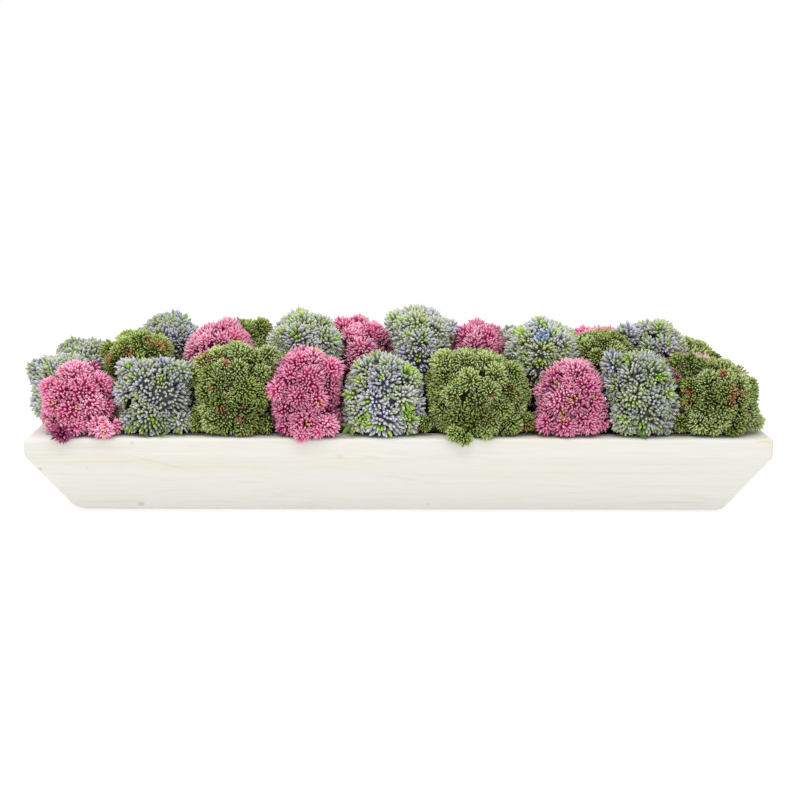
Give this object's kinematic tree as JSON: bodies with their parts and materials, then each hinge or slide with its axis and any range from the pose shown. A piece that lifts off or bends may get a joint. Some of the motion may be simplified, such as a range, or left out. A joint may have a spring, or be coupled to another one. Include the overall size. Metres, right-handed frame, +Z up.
{
  "type": "succulent dish garden",
  "caption": "Long whitewashed wooden trough filled with rounded sedum-like flower heads in pink, lavender-grey and green, each on a stem set in a foam block under a bed of moss.",
  "frame": {"origin": "middle of the trough's flat underside", "axes": "+X runs along the trough, to the right as seen from its front; -Y faces the front; +Z is up"},
  "size_m": [0.774, 0.2405, 0.205],
  "materials": {
    "planter": "matte",
    "foam": "matte",
    "moss": "matte",
    "stems": "satin",
    "pink_heads": "satin",
    "lavender_heads": "satin",
    "green_heads": "satin"
  },
  "bodies": {
    "root": {"planter": "planter", "foam_block": "foam", "moss_bed": "moss", "green_head_back_3": "green_heads", "green_head_back_5": "green_heads", "green_head_back_8": "green_heads", "green_head_front_3": "green_heads", "green_head_front_6": "green_heads", "green_head_front_9": "green_heads", "green_head_middle_2": "green_heads", "green_head_middle_9": "green_heads", "lavender_head_back_1": "lavender_heads", "lavender_head_back_2": "lavender_heads", "lavender_head_back_6": "lavender_heads", "lavender_head_front_2": "lavender_heads", "lavender_head_front_5": "lavender_heads", "lavender_head_front_8": "lavender_heads", "lavender_head_middle_1": "lavender_heads", "lavender_head_middle_10": "lavender_heads", "lavender_head_middle_4": "lavender_heads", "lavender_head_middle_6": "lavender_heads", "lavender_head_middle_8": "lavender_heads", "pink_head_back_4": "pink_heads", "pink_head_back_7": "pink_heads", "pink_head_front_1": "pink_heads", "pink_head_front_4": "pink_heads", "pink_head_front_7": "pink_heads", "pink_head_middle_11": "pink_heads", "pink_head_middle_3": "pink_heads", "pink_head_middle_5": "pink_heads", "pink_head_middle_7": "pink_heads", "stem_back_1": "stems", "stem_back_2": "stems", "stem_back_3": "stems", "stem_back_4": "stems", "stem_back_5": "stems", "stem_back_6": "stems", "stem_back_7": "stems", "stem_back_8": "stems", "stem_front_1": "stems", "stem_front_2": "stems", "stem_front_3": "stems", "stem_front_4": "stems", "stem_front_5": "stems", "stem_front_6": "stems", "stem_front_7": "stems", "stem_front_8": "stems", "stem_front_9": "stems", "stem_middle_1": "stems", "stem_middle_10": "stems", "stem_middle_11": "stems", "stem_middle_2": "stems", "stem_middle_3": "stems", "stem_middle_4": "stems", "stem_middle_5": "stems", "stem_middle_6": "stems", "stem_middle_7": "stems", "stem_middle_8": "stems", "stem_middle_9": "stems"}
  },
  "joints": []
}
